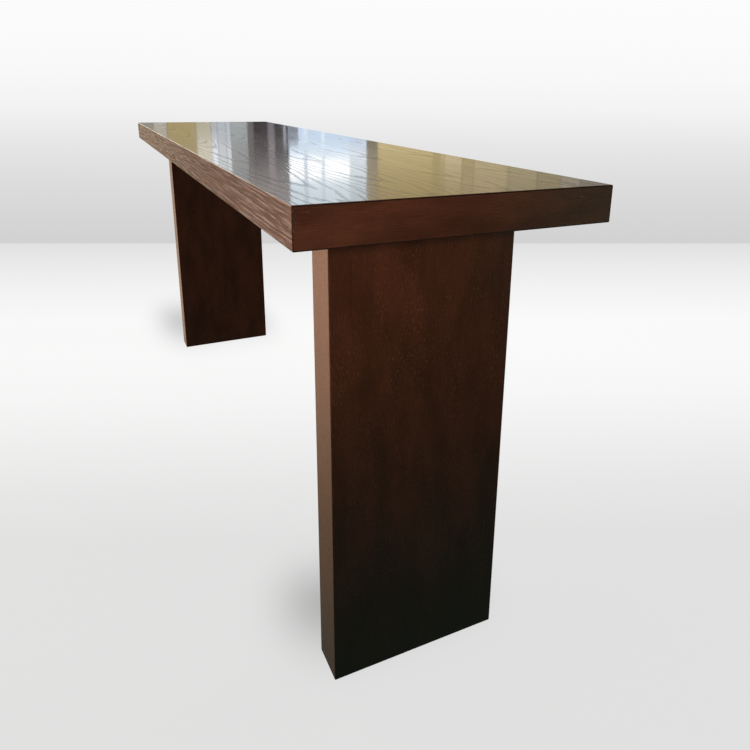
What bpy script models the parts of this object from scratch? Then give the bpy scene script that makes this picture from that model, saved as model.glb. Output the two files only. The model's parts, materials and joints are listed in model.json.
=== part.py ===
"""Slab-leg communion table: a torsion-box top on two hollow box legs.

The top is a veneered panel with four aprons mitred to it, an underside panel let in between
them and a half-lapped grid of ribs inside. Each leg is a box of four mitred boards round
softwood rails. Two steel rods in each leg pull it up to a block inside the top.

Metres, +Z up. The origin is on the floor, under the middle of the top. X runs along the
table, and the front long side faces -Y.
"""

import math

import bmesh
import bpy
from mathutils import Vector

# Driving dimensions
LENGTH = 2.440
DEPTH = 0.610
HEIGHT = 1.067
TOP_THICKNESS = 0.070
LEG_WIDTH = 0.396
LEG_THICKNESS = 0.090
LEG_INSET = 0.145  # from the end of the top to a leg's outer face
BOARD = 0.018  # every veneered show board
ARRIS = 0.0025  # width that an eased edge takes from each face
GAP = 0.0003  # between pieces that meet

# Inside the top, whose own frame starts at its underside
UNDERSIDE = 0.012
RIB = 0.018
RIB_OFFSET = 0.096  # long ribs, either side of the middle
CROSS_RIBS = 5
CROSS_RIB_PITCH = 0.320
BLOCK_WIDTH = 0.150
BISCUIT_LENGTH = 0.044
BISCUIT_WIDTH = 0.015
BISCUIT_THICKNESS = 0.004
BISCUIT_HEIGHT = 0.0265  # middle of a biscuit, above the underside

# Hardware, in a leg's own frame, which starts at its foot
GLIDE_HEIGHT = 0.003
GLIDE_RADIUS = 0.019
GLIDE_OFFSET = 0.160
NAIL_RADIUS = 0.00125
NAIL_LENGTH = 0.018
NAIL_POINT = 0.003
ROD_RADIUS = 0.005
ROD_LENGTH = 1.000
ROD_FOOT = 0.030
ROD_OFFSET = 0.110
ROD_CLEARANCE = 0.0005
COUNTERBORE_RADIUS = 0.0165
COUNTERBORE_DEPTH = 0.045
WASHER_RADIUS = 0.015
WASHER_THICKNESS = 0.0022
NUT_ACROSS_FLATS = 0.017
NUT_HEIGHT = 0.0084
NUT_CHAMFER = 0.0012
INSERT_RADIUS = 0.008
INSERT_LENGTH = 0.030
DOWEL_RADIUS = 0.005
DOWEL_LENGTH = 0.056
DOWEL_IN_LEG = 0.030
DOWEL_OFFSET = 0.055
CHAMFER = 0.001  # on the ends of rods, dowels and glides
DRILL_OVERRUN = 0.001  # how much deeper a blind hole is than what it holds

# Sizes worked out from those above
HALF_LENGTH = LENGTH / 2
HALF_DEPTH = DEPTH / 2
HALF_CORE_DEPTH = HALF_DEPTH - BOARD - GAP
UNDER_TOP = HEIGHT - TOP_THICKNESS
CORE_ROOF = TOP_THICKNESS - BOARD - GAP
CORE_FLOOR = UNDERSIDE + GAP
CORE_MIDDLE = (CORE_FLOOR + CORE_ROOF) / 2
LEG_HEIGHT = UNDER_TOP - GAP - GLIDE_HEIGHT
LEG_X = HALF_LENGTH - LEG_INSET - LEG_THICKNESS / 2
RAIL_HALF_THICKNESS = LEG_THICKNESS / 2 - BOARD - GAP
RAIL_HALF_WIDTH = LEG_WIDTH / 2 - BOARD - GAP

# Rails inside a leg: name, bottom and height
RAILS = (
    ("top_rail", LEG_HEIGHT - 0.090, 0.090),
    ("upper_mid_rail", 0.635, 0.045),
    ("lower_mid_rail", 0.335, 0.045),
    ("bottom_rail", 0.0, 0.070),
)

SEGMENTS = 16
ARC_STEPS = 8
SHARP_ANGLE = math.radians(40)
ROWS = (("front", -1), ("back", 1))
SIDES = (("left", -1), ("right", 1))
X = Vector((1, 0, 0))
Y = Vector((0, 1, 0))
Z = Vector((0, 0, 1))


# --- Scene, materials and objects -------------------------------------------------------


def clear_scene():
    for obj in list(bpy.data.objects):
        bpy.data.objects.remove(obj, do_unlink=True)


def finish(name, colour, roughness, metallic=0.0):
    material = bpy.data.materials.new(name)
    material.use_nodes = True
    shader = material.node_tree.nodes["Principled BSDF"]
    shader.inputs["Base Color"].default_value = (*colour, 1.0)
    shader.inputs["Roughness"].default_value = roughness
    shader.inputs["Metallic"].default_value = metallic
    return material


def make_finishes():
    return {
        "veneer": finish("espresso_veneer", (0.055, 0.026, 0.015), 0.28),
        "underside": finish("stained_underside", (0.030, 0.019, 0.013), 0.55),
        "core": finish("birch_plywood", (0.56, 0.42, 0.27), 0.70),
        "softwood": finish("pine", (0.62, 0.44, 0.25), 0.70),
        "beech": finish("beech", (0.60, 0.38, 0.22), 0.65),
        "steel": finish("zinc_plated_steel", (0.60, 0.61, 0.62), 0.32, 1.0),
        "brass": finish("brass", (0.70, 0.50, 0.22), 0.35, 1.0),
        "nylon": finish("dark_nylon", (0.030, 0.026, 0.024), 0.50),
    }


def group(name, location):
    empty = bpy.data.objects.new(name, None)
    empty.location = location
    bpy.context.scene.collection.objects.link(empty)
    return empty


def add_object(name, bm, material, parent, location=(0, 0, 0)):
    bmesh.ops.recalc_face_normals(bm, faces=bm.faces)
    mesh = bpy.data.meshes.new(name)
    bm.to_mesh(mesh)
    bm.free()
    if material:
        mesh.materials.append(material)
    obj = bpy.data.objects.new(name, mesh)
    obj.parent = parent
    obj.location = location
    bpy.context.scene.collection.objects.link(obj)
    return obj


def add_round(name, profile, material, parent, location):
    """A turned piece, shaded smooth but for its sharp edges."""
    obj = add_object(name, turned(profile), material, parent, location)
    obj.data.shade_smooth()
    obj.data.set_sharp_from_angle(angle=SHARP_ANGLE)
    return obj


def add_cutter(name, bm, parent, location=(0, 0, 0)):
    cutter = add_object(name, bm, None, parent, location)
    cutter.hide_render = True
    cutter.display_type = "WIRE"
    return cutter


def boolean(obj, operation, cutters):
    for cutter in cutters:
        modifier = obj.modifiers.new(cutter.name, "BOOLEAN")
        modifier.operation = operation
        modifier.solver = "EXACT"
        modifier.object = cutter


# --- Shapes -----------------------------------------------------------------------------


def box(low, high):
    """A box between its lowest and highest corners."""
    bm = bmesh.new()
    bmesh.ops.create_cube(bm, size=1.0)
    middle = (Vector(low) + Vector(high)) / 2
    size = Vector(high) - Vector(low)
    for vertex in bm.verts:
        vertex.co = middle + vertex.co * size
    return bm


def centred_box(half_x, half_y, bottom, top):
    return box((-half_x, -half_y, bottom), (half_x, half_y, top))


def saw(bm, point, normal):
    """Cuts a body by a plane, closes it, and drops the side that the normal points to."""
    geometry = bm.verts[:] + bm.edges[:] + bm.faces[:]
    found = bmesh.ops.bisect_plane(
        bm, geom=geometry, dist=1e-7, plane_co=point, plane_no=normal, clear_outer=True
    )
    rim = [item for item in found["geom_cut"] if isinstance(item, bmesh.types.BMEdge)]
    bmesh.ops.contextual_create(bm, geom=rim)


def show_board(low, high, face, mitred_to, eased_at=()):
    """A board with one show face. It is mitred to the boards on some sides, and the arris of
    its show face is eased there and along its free edges."""
    bm = box(low, high)
    for side in (*mitred_to, *eased_at):
        corner = sum((d * max(d.dot(Vector(low)), d.dot(Vector(high))) for d in (face, side)), Vector())
        if side in mitred_to:
            normal = (side - face).normalized()
            saw(bm, corner - normal * GAP / 2, normal)
        saw(bm, corner - side * ARRIS, (side + face).normalized())
    return bm


def extruded(outline, start, end, axis):
    """A closed outline swept along an axis. Its points give the other two axes in order."""
    bm = bmesh.new()
    across, up = (i for i in range(3) if i != axis)
    points = []
    for first, second in outline:
        point = Vector()
        point[across], point[up], point[axis] = first, second, start
        points.append(bm.verts.new(point))
    face = bm.faces.new(points)
    grown = bmesh.ops.extrude_face_region(bm, geom=[face])["geom"]
    step = Vector()
    step[axis] = end - start
    moved = [item for item in grown if isinstance(item, bmesh.types.BMVert)]
    bmesh.ops.translate(bm, verts=moved, vec=step)
    return bm


def turned(profile):
    """A profile of (radius, height) points turned about Z. One that starts off the axis is
    closed, and makes a ring."""
    bm = bmesh.new()
    points = [bm.verts.new((radius, 0.0, height)) for radius, height in profile]
    pairs = list(zip(points, points[1:]))
    if profile[0][0] > 0:
        pairs.append((points[-1], points[0]))
    edges = [bm.edges.new(pair) for pair in pairs]
    bmesh.ops.spin(
        bm, geom=points + edges, axis=Z, cent=(0, 0, 0), angle=math.tau, steps=SEGMENTS
    )
    bmesh.ops.remove_doubles(bm, verts=bm.verts, dist=1e-6)
    return bm


def pin(radius, bottom, top):
    """The profile of a round pin with chamfered ends."""
    neck = radius - CHAMFER
    return [
        (0.0, bottom),
        (neck, bottom),
        (radius, bottom + CHAMFER),
        (radius, top - CHAMFER),
        (neck, top),
        (0.0, top),
    ]


def tube(inner, outer, bottom, top):
    """The profile of a plain ring or sleeve."""
    return [(inner, bottom), (outer, bottom), (outer, top), (inner, top)]


def drilling(radius, bottom, top):
    """The profile of a round hole."""
    return [(0.0, bottom), (radius, bottom), (radius, top), (0.0, top)]


def stepped_drilling(lower, upper, bottom, step, top):
    """The profile of a round hole of one radius below a step and another above it."""
    return [(0.0, bottom), (lower, bottom), (lower, step), (upper, step), (upper, top), (0.0, top)]


# --- The top ----------------------------------------------------------------------------


def make_top_boards(finishes, top):
    """The top panel and the four aprons mitred to it and to each other."""
    low = Vector((-HALF_LENGTH, -HALF_DEPTH, 0.0))
    high = Vector((HALF_LENGTH, HALF_DEPTH, TOP_THICKNESS))
    panel = show_board((*low.xy, TOP_THICKNESS - BOARD), high, Z, (X, -X, Y, -Y))
    add_object("top_panel", panel, finishes["veneer"], top)
    aprons = {}
    for name, face, side in (
        ("front_apron", -Y, X),
        ("back_apron", Y, X),
        ("left_end_apron", -X, Y),
        ("right_end_apron", X, Y),
    ):
        start, end = low.copy(), high.copy()
        axis = 0 if face.x else 1
        if face[axis] < 0:
            end[axis] = low[axis] + BOARD
        else:
            start[axis] = high[axis] - BOARD
        board = show_board(start, end, face, (Z, side, -side), (-Z,))
        aprons[name] = add_object(name, board, finishes["veneer"], top)
    return aprons


def biscuit_outline(growth):
    """A flat oval with pointed ends, made of two arcs. Growth makes its slot."""
    length = BISCUIT_LENGTH / 2 + growth
    width = BISCUIT_WIDTH / 2 + growth
    radius = (length**2 + width**2) / (2 * width)
    sweep = math.asin(length / radius)
    outline = []
    for side in (1, -1):
        for step in range(ARC_STEPS):
            angle = side * sweep * (2 * step / ARC_STEPS - 1)
            outline.append((side * (radius * math.cos(angle) - radius + width), radius * math.sin(angle)))
    return outline


def make_biscuits(finishes, top, aprons):
    """A beech biscuit across the mitre of each corner, in a slot that both aprons share."""
    for row, front in ROWS:
        for name, side in SIDES:
            middle = (
                side * (HALF_LENGTH - BOARD / 2),
                front * (HALF_DEPTH - BOARD / 2),
                BISCUIT_HEIGHT,
            )
            half = BISCUIT_THICKNESS / 2
            body = extruded(biscuit_outline(0.0), -half, half, 1)
            slot_body = extruded(biscuit_outline(GAP), -half - GAP, half + GAP, 1)
            biscuit = add_object(f"{row}_{name}_biscuit", body, finishes["beech"], top, middle)
            slot = add_cutter(f"{row}_{name}_biscuit_slot", slot_body, top, middle)
            for obj in (biscuit, slot):
                obj.rotation_euler.z = math.atan2(-front, side)
            boolean(aprons[f"{row}_apron"], "DIFFERENCE", [slot])
            boolean(aprons[f"{name}_end_apron"], "DIFFERENCE", [slot])


def notched(half_length, edge, far_edge, centres):
    """A rib's outline, with half-lap notches let into one edge."""
    depth = CORE_MIDDLE + (GAP / 2 if edge < far_edge else -GAP / 2)
    half_notch = RIB / 2 + GAP
    outline = [(-half_length, far_edge), (-half_length, edge)]
    for centre in centres:
        outline += [
            (centre - half_notch, edge),
            (centre - half_notch, depth),
            (centre + half_notch, depth),
            (centre + half_notch, edge),
        ]
    return outline + [(half_length, edge), (half_length, far_edge)]


def make_ribs(finishes, top):
    """Two long ribs between the leg blocks, and cross ribs lapped over them."""
    half_length = LEG_X - BLOCK_WIDTH / 2 - GAP
    first = -CROSS_RIB_PITCH * (CROSS_RIBS - 1) / 2
    crossings = [first + CROSS_RIB_PITCH * i for i in range(CROSS_RIBS)]
    long_outline = notched(half_length, CORE_ROOF, CORE_FLOOR, crossings)
    for row, sign in ROWS:
        middle = sign * RIB_OFFSET
        rib = extruded(long_outline, middle - RIB / 2, middle + RIB / 2, 1)
        add_object(f"{row}_core_rib", rib, finishes["core"], top)
    cross_outline = notched(HALF_CORE_DEPTH, CORE_FLOOR, CORE_ROOF, (-RIB_OFFSET, RIB_OFFSET))
    for number, middle in enumerate(crossings, start=1):
        rib = extruded(cross_outline, middle - RIB / 2, middle + RIB / 2, 0)
        add_object(f"cross_rib_{number}", rib, finishes["core"], top)


def make_underside(finishes, top):
    """The panel that closes the torsion box between the aprons."""
    panel = centred_box(HALF_LENGTH - BOARD - GAP, HALF_CORE_DEPTH, 0.0, UNDERSIDE)
    return add_object("underside_panel", panel, finishes["underside"], top)


def make_leg_block(name, side, finishes, top):
    """The solid block inside the top that a leg is pulled up to."""
    block = centred_box(BLOCK_WIDTH / 2, HALF_CORE_DEPTH, CORE_FLOOR, CORE_ROOF)
    return add_object(f"{name}_leg_block", block, finishes["core"], top, (side * LEG_X, 0, 0))


# --- The legs ---------------------------------------------------------------------------


def make_leg_boards(leg, outward, finishes):
    """Four boards mitred into a box."""
    half_thickness = LEG_THICKNESS / 2
    half_width = LEG_WIDTH / 2
    for name, face, side in (
        ("outer_panel", outward, Y),
        ("inner_panel", -outward, Y),
        ("front_edge", -Y, X),
        ("back_edge", Y, X),
    ):
        low = Vector((-half_thickness, -half_width, 0.0))
        high = Vector((half_thickness, half_width, LEG_HEIGHT))
        axis = 0 if face.x else 1
        if face[axis] < 0:
            high[axis] = low[axis] + BOARD
        else:
            low[axis] = high[axis] - BOARD
        board = show_board(low, high, face, (side, -side), (-Z,))
        add_object(f"{leg.name}_{name}", board, finishes["veneer"], leg)


def drill_pair(leg, name, profile, offset):
    """Two drillings, in front of and behind the leg's middle."""
    return [
        add_cutter(f"{leg.name}_{row}_{name}", turned(profile), leg, (0, sign * offset, 0))
        for row, sign in ROWS
    ]


def make_rails(leg, finishes, dowel_holes):
    """Rails that fill the box. The rods run through all of them, and the lowest one takes the
    nuts and the glides' nails."""
    rod_hole = ROD_RADIUS + ROD_CLEARANCE
    top_end = LEG_HEIGHT + DRILL_OVERRUN
    rod_profile = drilling(rod_hole, -DRILL_OVERRUN, top_end)
    bore_profile = stepped_drilling(COUNTERBORE_RADIUS, rod_hole, -DRILL_OVERRUN, COUNTERBORE_DEPTH, top_end)
    nail_profile = drilling(NAIL_RADIUS + GAP, -DRILL_OVERRUN, NAIL_LENGTH + DRILL_OVERRUN)
    rod_holes = drill_pair(leg, "rod_hole", rod_profile, ROD_OFFSET)
    counterbores = drill_pair(leg, "counterbore", bore_profile, ROD_OFFSET)
    nail_holes = drill_pair(leg, "nail_hole", nail_profile, GLIDE_OFFSET)
    drillings = {
        "top_rail": rod_holes + dowel_holes,
        "upper_mid_rail": rod_holes,
        "lower_mid_rail": rod_holes,
        "bottom_rail": counterbores + nail_holes,
    }
    for name, bottom, height in RAILS:
        body = centred_box(RAIL_HALF_THICKNESS, RAIL_HALF_WIDTH, bottom, bottom + height)
        rail = add_object(f"{leg.name}_{name}", body, finishes["softwood"], leg)
        boolean(rail, "DIFFERENCE", drillings[name])


def make_nut(name, leg, place, finishes):
    """A hexagon nut with both faces chamfered."""
    across_corners = NUT_ACROSS_FLATS / math.cos(math.pi / 6)
    hexagon = [
        (across_corners / 2 * math.cos(math.pi / 3 * i), across_corners / 2 * math.sin(math.pi / 3 * i))
        for i in range(6)
    ]
    nut = add_object(name, extruded(hexagon, 0.0, NUT_HEIGHT, 2), finishes["steel"], leg, place)
    flat = NUT_ACROSS_FLATS / 2
    dome = [
        (0.0, 0.0),
        (flat, 0.0),
        (across_corners / 2, NUT_CHAMFER),
        (across_corners / 2, NUT_HEIGHT - NUT_CHAMFER),
        (flat, NUT_HEIGHT),
        (0.0, NUT_HEIGHT),
    ]
    bore = drilling(ROD_RADIUS + GAP, -DRILL_OVERRUN, NUT_HEIGHT + DRILL_OVERRUN)
    boolean(nut, "INTERSECT", [add_cutter(f"{name}_dome", turned(dome), leg, place)])
    boolean(nut, "DIFFERENCE", [add_cutter(f"{name}_bore", turned(bore), leg, place)])


def make_hardware(leg, finishes):
    """The rods, washers, nuts, inserts, dowels and glides of one leg."""
    washer_top = COUNTERBORE_DEPTH - GAP
    washer_bottom = washer_top - WASHER_THICKNESS
    nut_bottom = washer_bottom - GAP - NUT_HEIGHT
    insert_bottom = LEG_HEIGHT + GAP + CORE_FLOOR
    dowel_bottom = LEG_HEIGHT - DOWEL_IN_LEG
    bore = ROD_RADIUS + GAP
    rod = pin(ROD_RADIUS, ROD_FOOT, ROD_FOOT + ROD_LENGTH)
    washer = tube(bore, WASHER_RADIUS, washer_bottom, washer_top)
    insert = tube(bore, INSERT_RADIUS, insert_bottom, insert_bottom + INSERT_LENGTH)
    dowel = pin(DOWEL_RADIUS, dowel_bottom, dowel_bottom + DOWEL_LENGTH)
    glide = [
        (0.0, -GLIDE_HEIGHT),
        (GLIDE_RADIUS - CHAMFER, -GLIDE_HEIGHT),
        (GLIDE_RADIUS, CHAMFER - GLIDE_HEIGHT),
        (GLIDE_RADIUS, -GAP),
        (NAIL_RADIUS, -GAP),
        (NAIL_RADIUS, NAIL_LENGTH - NAIL_POINT),
        (0.0, NAIL_LENGTH),
    ]
    for row, sign in ROWS:
        at_rod = (0, sign * ROD_OFFSET, 0)
        start = f"{leg.name}_{row}"
        add_round(f"{start}_tie_rod", rod, finishes["steel"], leg, at_rod)
        add_round(f"{start}_washer", washer, finishes["steel"], leg, at_rod)
        add_round(f"{start}_insert", insert, finishes["brass"], leg, at_rod)
        make_nut(f"{start}_nut", leg, (0, sign * ROD_OFFSET, nut_bottom), finishes)
        add_round(f"{start}_dowel", dowel, finishes["beech"], leg, (0, sign * DOWEL_OFFSET, 0))
        add_round(f"{start}_glide", glide, finishes["nylon"], leg, (0, sign * GLIDE_OFFSET, 0))


def make_leg(name, side, finishes, top, underside):
    leg = group(f"{name}_leg", (side * LEG_X, 0, GLIDE_HEIGHT))
    block = make_leg_block(name, side, finishes, top)
    dowel_top = LEG_HEIGHT - DOWEL_IN_LEG + DOWEL_LENGTH + DRILL_OVERRUN
    dowel_profile = drilling(DOWEL_RADIUS + GAP, LEG_HEIGHT - DOWEL_IN_LEG - DRILL_OVERRUN, dowel_top)
    dowel_holes = drill_pair(leg, "dowel_hole", dowel_profile, DOWEL_OFFSET)

    # The hole for a rod widens to the insert's hole where it enters the block.
    underside_height = LEG_HEIGHT + GAP
    step = underside_height + UNDERSIDE + GAP / 2
    insert_profile = stepped_drilling(
        ROD_RADIUS + ROD_CLEARANCE,
        INSERT_RADIUS + GAP,
        underside_height - DRILL_OVERRUN,
        step,
        step + INSERT_LENGTH + DRILL_OVERRUN,
    )
    insert_holes = drill_pair(leg, "insert_hole", insert_profile, ROD_OFFSET)
    for obj in (block, underside):
        boolean(obj, "DIFFERENCE", insert_holes + dowel_holes)

    make_leg_boards(leg, side * X, finishes)
    make_rails(leg, finishes, dowel_holes)
    make_hardware(leg, finishes)


def main():
    clear_scene()
    finishes = make_finishes()
    top = group("top", (0, 0, UNDER_TOP))
    aprons = make_top_boards(finishes, top)
    make_biscuits(finishes, top, aprons)
    make_ribs(finishes, top)
    underside = make_underside(finishes, top)
    for name, side in SIDES:
        make_leg(name, side, finishes, top, underside)


main()
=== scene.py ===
"""Looks of a slab-leg communion table in espresso-stained, lacquered veneer.

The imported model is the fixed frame. Each show board of the top and of the legs is rebuilt here
with a rounded arris and its own run of veneer, and every other piece of the frame is dressed
in a procedural finish. Metres, +Z up, X along the table, and the front long side faces -Y.
"""

from __future__ import annotations

import json
import logging
import math
from dataclasses import dataclass, field
from enum import Enum
from typing import Any, Callable, Iterable

import bmesh
import bpy
import numpy as np
from mathutils import Matrix, Vector

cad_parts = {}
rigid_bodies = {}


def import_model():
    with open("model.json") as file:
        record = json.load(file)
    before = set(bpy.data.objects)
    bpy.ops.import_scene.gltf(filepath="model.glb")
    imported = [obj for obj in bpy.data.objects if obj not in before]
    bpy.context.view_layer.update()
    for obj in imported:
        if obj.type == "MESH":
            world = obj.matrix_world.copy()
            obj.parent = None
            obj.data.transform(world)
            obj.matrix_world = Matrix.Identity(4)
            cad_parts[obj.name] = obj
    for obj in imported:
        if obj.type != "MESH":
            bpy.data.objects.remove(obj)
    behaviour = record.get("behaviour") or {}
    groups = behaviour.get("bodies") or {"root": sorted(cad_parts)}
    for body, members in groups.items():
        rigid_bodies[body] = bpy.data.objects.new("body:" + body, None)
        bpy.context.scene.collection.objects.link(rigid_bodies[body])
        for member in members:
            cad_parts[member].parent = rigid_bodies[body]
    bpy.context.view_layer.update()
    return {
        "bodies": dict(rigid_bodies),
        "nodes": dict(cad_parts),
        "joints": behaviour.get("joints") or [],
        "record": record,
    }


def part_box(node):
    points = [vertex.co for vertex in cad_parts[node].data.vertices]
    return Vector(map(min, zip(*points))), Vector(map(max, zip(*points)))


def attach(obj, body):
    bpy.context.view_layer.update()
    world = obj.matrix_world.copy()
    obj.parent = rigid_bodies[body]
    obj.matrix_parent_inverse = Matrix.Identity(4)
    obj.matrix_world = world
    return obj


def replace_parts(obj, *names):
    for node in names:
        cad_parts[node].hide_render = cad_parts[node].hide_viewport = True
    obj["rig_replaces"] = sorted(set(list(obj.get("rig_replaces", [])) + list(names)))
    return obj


log = logging.getLogger("communion_table")

Colour = tuple[float, float, float]
Plane = tuple[Vector, Vector]

ARRIS = 0.0025  # radius of an eased edge
ARRIS_STEPS = 6
GLUE_LINE = 0.0001  # between mitred boards
CAP_SEGMENTS = 48
SHARP_ANGLE = math.radians(35)
GRAIN = "grain"  # along, across and a seed, in metres, on each veneered board
# The arris mask below carries the stain rubbed thin on the arrises and also painted light: a painted highlight line
# on the aprons and a painted shade line on the end boards.
ARRIS_WEAR_AND_LIGHT = "arris_wear_and_painted_light"  # 1 on the round of an arris and 0 on the flat

X = Vector((1, 0, 0))
Y = Vector((0, 1, 0))
Z = Vector((0, 0, 1))


# --- Shader graphs ----------------------------------------------------------------------


class Sketch:
    """Writes a shader graph as calls that read like formulas.

    A value given to any method is a number, a colour or another node's output.
    """

    def __init__(self, tree: bpy.types.NodeTree) -> None:
        """Starts an empty graph.

        Args:
            tree: The node tree to fill. Its nodes are removed.
        """
        self.tree = tree
        tree.nodes.clear()

    def node(self, kind: str, inputs: dict[Any, Any], **settings: Any) -> bpy.types.Node:
        """Adds one node.

        Args:
            kind: Its type, without the leading ShaderNode.
            inputs: Socket name or number to what it gets.
            **settings: The node's own properties.

        Returns:
            The node.
        """
        node = self.tree.nodes.new("ShaderNode" + kind)
        for name, value in settings.items():
            setattr(node, name, value)
        for key, value in inputs.items():
            self.feed(node.inputs[key], value)
        return node

    def feed(self, socket: bpy.types.NodeSocket, value: Any) -> None:
        """Links an output to a socket, or sets the socket's own value."""
        if isinstance(value, bpy.types.NodeSocket):
            self.tree.links.new(value, socket)
        elif isinstance(value, tuple) and len(value) == 3 and socket.type == "RGBA":
            socket.default_value = (*value, 1.0)
        else:
            socket.default_value = value

    def math(self, operation: str, a: Any, b: Any = 0.0, c: Any = 0.0) -> bpy.types.NodeSocket:
        """One Math node's result."""
        return self.node("Math", {0: a, 1: b, 2: c}, operation=operation).outputs[0]

    def add(self, *terms: Any) -> bpy.types.NodeSocket:
        """The sum of two or more values."""
        total = terms[0]
        for term in terms[1:]:
            total = self.math("ADD", total, term)
        return total

    def times(self, *factors: Any) -> bpy.types.NodeSocket:
        """The product of two or more values."""
        product = factors[0]
        for factor in factors[1:]:
            product = self.math("MULTIPLY", product, factor)
        return product

    def ease(self, value: Any, low: Any, high: Any, start: Any = 0.0, end: Any = 1.0) -> bpy.types.NodeSocket:
        """Goes smoothly from start to end as a value goes from low to high, and stays there."""
        sockets = {"Value": value, "From Min": low, "From Max": high, "To Min": start, "To Max": end}
        return self.node("MapRange", sockets, interpolation_type="SMOOTHSTEP").outputs["Result"]

    def ramp(self, value: Any, stops: Iterable[tuple[float, Any]]) -> bpy.types.NodeSocket:
        """Goes in straight steps through a list of places and the colours there."""
        stops = list(stops)
        colour = stops[0][1]
        for (start, _), (end, after) in zip(stops, stops[1:]):
            sockets = {"Value": value, "From Min": start, "From Max": end}
            colour = self.mix(self.node("MapRange", sockets).outputs["Result"], colour, after)
        return colour

    def vector(self, x: Any, y: Any, z: Any) -> bpy.types.NodeSocket:
        """Three values as one vector."""
        return self.node("CombineXYZ", {0: x, 1: y, 2: z}).outputs[0]

    def parts(self, vector: Any) -> tuple[bpy.types.NodeSocket, ...]:
        """A vector's three values."""
        return tuple(self.node("SeparateXYZ", {0: vector}).outputs)

    def noise(self, vector: Any, detail: float = 2.0, roughness: float = 0.5) -> bpy.types.NodeSocket:
        """Noise whose features are one unit across, from about 0 to 1 with a mean of 0.5."""
        sockets = {"Vector": vector, "Scale": 1.0, "Detail": detail, "Roughness": roughness}
        return self.node("TexNoise", sockets).outputs["Fac"]

    def swing(self, vector: Any, reach: float, detail: float = 1.0) -> bpy.types.NodeSocket:
        """Noise about zero that seldom goes past reach."""
        centred = self.math("SUBTRACT", self.noise(vector, detail), 0.5)
        return self.times(centred, 2.0 * reach)

    def mix(self, factor: Any, a: Any, b: Any) -> bpy.types.NodeSocket:
        """A colour from a at factor 0 to b at factor 1."""
        sockets = {"Factor": factor, 6: a, 7: b}
        return self.node("Mix", sockets, data_type="RGBA").outputs[2]

    def bump(self, height: Any, distance: float) -> bpy.types.NodeSocket:
        """The normal of a surface whose relief is height, from 0 to 1, times distance."""
        return self.node("Bump", {"Strength": 1.0, "Distance": distance, "Height": height}).outputs[0]

    def attribute(self, name: str, output: str) -> bpy.types.NodeSocket:
        """A mesh attribute, as its output Vector or Fac."""
        return self.node("Attribute", {}, attribute_name=name).outputs[output]

    def position(self) -> bpy.types.NodeSocket:
        """The point in the row frame."""
        return self.node("TexCoord", {}).outputs["Object"]

    def surface(self, **sockets: Any) -> None:
        """Ends the graph in a Principled shader, whose sockets are named with underscores."""
        named = {name.replace("_", " "): value for name, value in sockets.items()}
        shader = self.node("BsdfPrincipled", named)
        self.node("OutputMaterial", {"Surface": shader.outputs[0]})


def new_material(name: str) -> tuple[bpy.types.Material, Sketch]:
    """An empty material and the sketch of its graph."""
    material = bpy.data.materials.new(name)
    material.use_nodes = True
    return material, Sketch(material.node_tree)


# --- Finishes ---------------------------------------------------------------------------


@dataclass(frozen=True)
class Stain:
    """The colours of a stained, ring-porous wood."""

    dense: Colour = (0.100, 0.034, 0.018)
    porous: Colour = (0.034, 0.013, 0.008)
    pore: Colour = (0.012, 0.006, 0.004)
    rubbed: Colour = (0.240, 0.140, 0.090)


@dataclass(frozen=True)
class Log:
    """How the veneer lies in its log. Lengths are in metres."""

    ring_width: float
    heart_depth: float  # from the knife to the heart of the log
    heart_offset: float  # sideways from the middle of a leaf to the heart
    taper: float  # how fast the rings run out along the leaf
    wander: float  # sideways sway of the heart
    sway: float  # sway of the heart's depth
    leaf_width: float
    leaf_shift: float = 0.5  # 0.5 centres a leaf on the board, and 0 centres a joint
    slip: float = 0.012  # along the grain, from one leaf to the next
    ripple: float = 0.4  # short waves, in ring widths
    uneven: float = 0.75  # how far good and bad years crowd the rings, in ring widths
    porous_share: float = 0.48  # of each ring


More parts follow.
